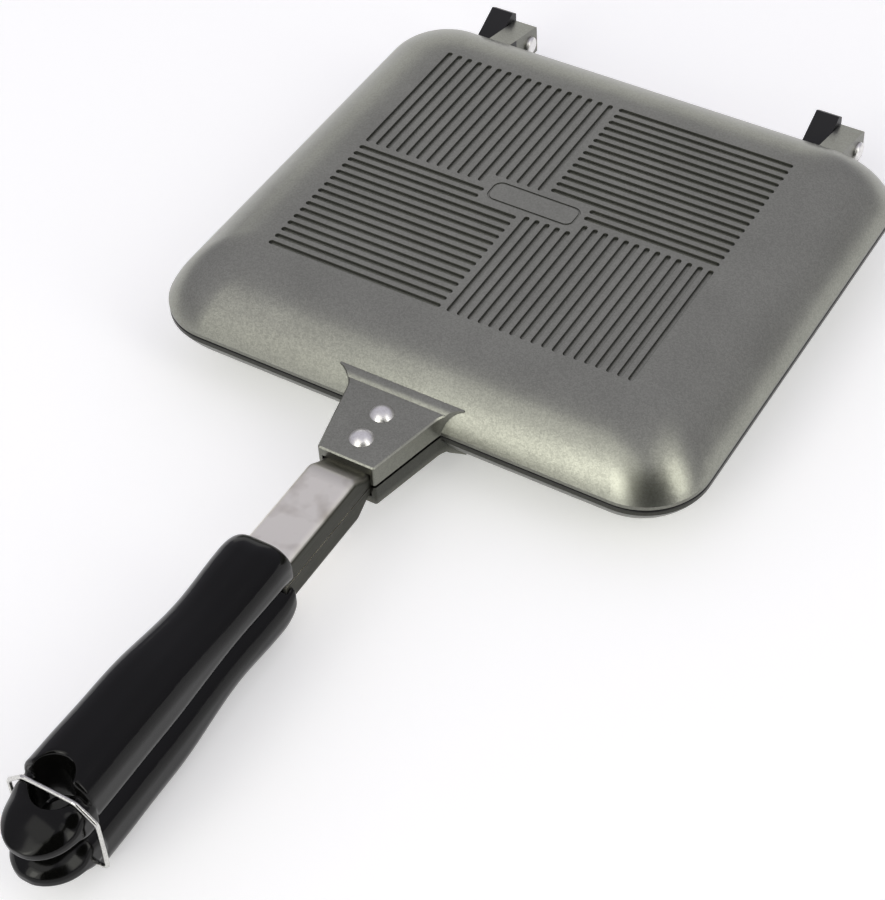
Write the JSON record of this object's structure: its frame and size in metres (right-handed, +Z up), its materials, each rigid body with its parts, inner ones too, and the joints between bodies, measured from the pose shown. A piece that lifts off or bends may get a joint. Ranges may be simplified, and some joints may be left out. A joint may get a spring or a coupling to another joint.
{
  "type": "camping sandwich toaster",
  "caption": "Clamshell camp-fire sandwich toaster: two hinged cast plates with ribbed outsides, channel straps, moulded grips and a wire clip that holds them shut.",
  "frame": {"origin": "middle of the lower plate's flat base, the face that the toaster stands on", "axes": "+Z up through both plates; -Y towards the grips' ends; +Y towards the hinges; +X to the right when looking along +Y"},
  "size_m": [0.211, 0.4101, 0.0446],
  "materials": {
    "plate_coating": "satin grey coating on cast aluminium, black non-stick inside",
    "stainless_strap": "brushed stainless strip",
    "phenolic_grip": "glossy black phenolic moulding",
    "bright_rivet": "bright domed rivet",
    "bright_pin": "bright steel pin",
    "clip_wire": "drawn stainless wire",
    "zinc_screw": "zinc-plated screw",
    "brass_insert": "turned brass"
  },
  "bodies": {
    "lower_half": {"lower_plate": "plate_coating", "lower_strap": "stainless_strap", "lower_grip": "phenolic_grip", "lower_rear_rivet": "bright_rivet", "lower_front_rivet": "bright_rivet", "lower_front_grip_screw": "zinc_screw", "lower_rear_grip_screw": "zinc_screw", "lower_front_grip_insert": "brass_insert", "lower_rear_grip_insert": "brass_insert"},
    "upper_half": {"upper_plate": "plate_coating", "upper_strap": "stainless_strap", "upper_grip": "phenolic_grip", "upper_rear_rivet": "bright_rivet", "upper_front_rivet": "bright_rivet", "upper_front_grip_screw": "zinc_screw", "upper_rear_grip_screw": "zinc_screw", "upper_front_grip_insert": "brass_insert", "upper_rear_grip_insert": "brass_insert", "left_hinge_pin": "bright_pin", "right_hinge_pin": "bright_pin"},
    "clip": {"wire_clip": "clip_wire"}
  },
  "joints": [
    {"name": "lid_hinge", "type": "hinge", "parent": "lower_half", "child": "upper_half", "pos_m": [0, 0.1059, 0.0223], "axis": [-1, 0, 0], "range_deg": [0, 105]},
    {"name": "clip_swing", "type": "hinge", "parent": "lower_half", "child": "clip", "pos_m": [0, -0.2804, 0.0103], "axis": [1, 0, 0], "range_deg": [0, 105]}
  ]
}
